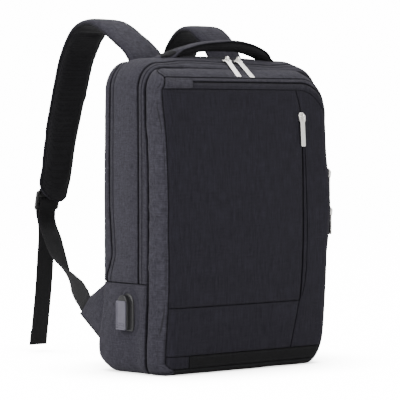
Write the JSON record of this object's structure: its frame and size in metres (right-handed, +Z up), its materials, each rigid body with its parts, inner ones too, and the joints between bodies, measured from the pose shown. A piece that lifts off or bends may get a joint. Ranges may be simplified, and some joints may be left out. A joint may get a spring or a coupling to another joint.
{
  "type": "laptop backpack",
  "caption": "Upright laptop backpack with arched zips, front pouch, padded back, carrying handle and padded shoulder straps with webbing.",
  "frame": {"origin": "middle of the flat base that the bag stands on", "axes": "+X to the right as the front is looked at, +Y to the wearer's back, +Z up"},
  "size_m": [0.3285, 0.4067, 0.4839],
  "materials": {
    "body_cloth": "heather grey woven polyester",
    "face_cloth": "charcoal woven polyester with fine vertical streaks",
    "base_cloth": "charcoal woven polyester",
    "lining": "plain black cloth",
    "back_mesh": "black padded spacer mesh",
    "strap_cloth": "heather grey woven polyester",
    "zip_tape": "black zip tape with a fine coil",
    "webbing": "black ribbed webbing",
    "black_plastic": "fine textured moulding",
    "port_cap": "smooth grey rubber",
    "silver_metal": "satin silver plating"
  },
  "bodies": {
    "root": {"laptop_gusset": "body_cloth", "main_gusset": "body_cloth", "front_gusset": "body_cloth", "lower_panel": "body_cloth", "pouch_gusset": "body_cloth", "pouch_band": "body_cloth", "wing_left": "body_cloth", "wing_right": "body_cloth", "strap_tab_left": "body_cloth", "strap_tab_right": "body_cloth", "face_panel": "face_cloth", "face_side_panel": "face_cloth", "face_lower_panel": "face_cloth", "base_strip": "base_cloth", "inner_front_panel": "lining", "back_panel": "back_mesh", "strap_pad_left": "back_mesh", "strap_pad_right": "back_mesh", "handle_pad": "back_mesh", "strap_cover_left": "strap_cloth", "strap_cover_right": "strap_cloth", "handle_cover": "strap_cloth", "laptop_zip": "zip_tape", "main_zip": "zip_tape", "pouch_zip": "zip_tape", "pocket_zip": "zip_tape", "webbing_left": "webbing", "webbing_right": "webbing", "ladder_lock_left": "black_plastic", "ladder_lock_right": "black_plastic", "port_housing": "black_plastic", "port_cap": "port_cap", "main_left_slider": "silver_metal", "main_left_pull": "silver_metal", "main_right_slider": "silver_metal", "main_right_pull": "silver_metal", "pocket_slider": "silver_metal", "pocket_pull": "silver_metal", "pouch_upper_slider": "silver_metal", "pouch_upper_pull": "silver_metal", "pouch_lower_slider": "silver_metal", "pouch_lower_pull": "silver_metal"}
  },
  "joints": []
}
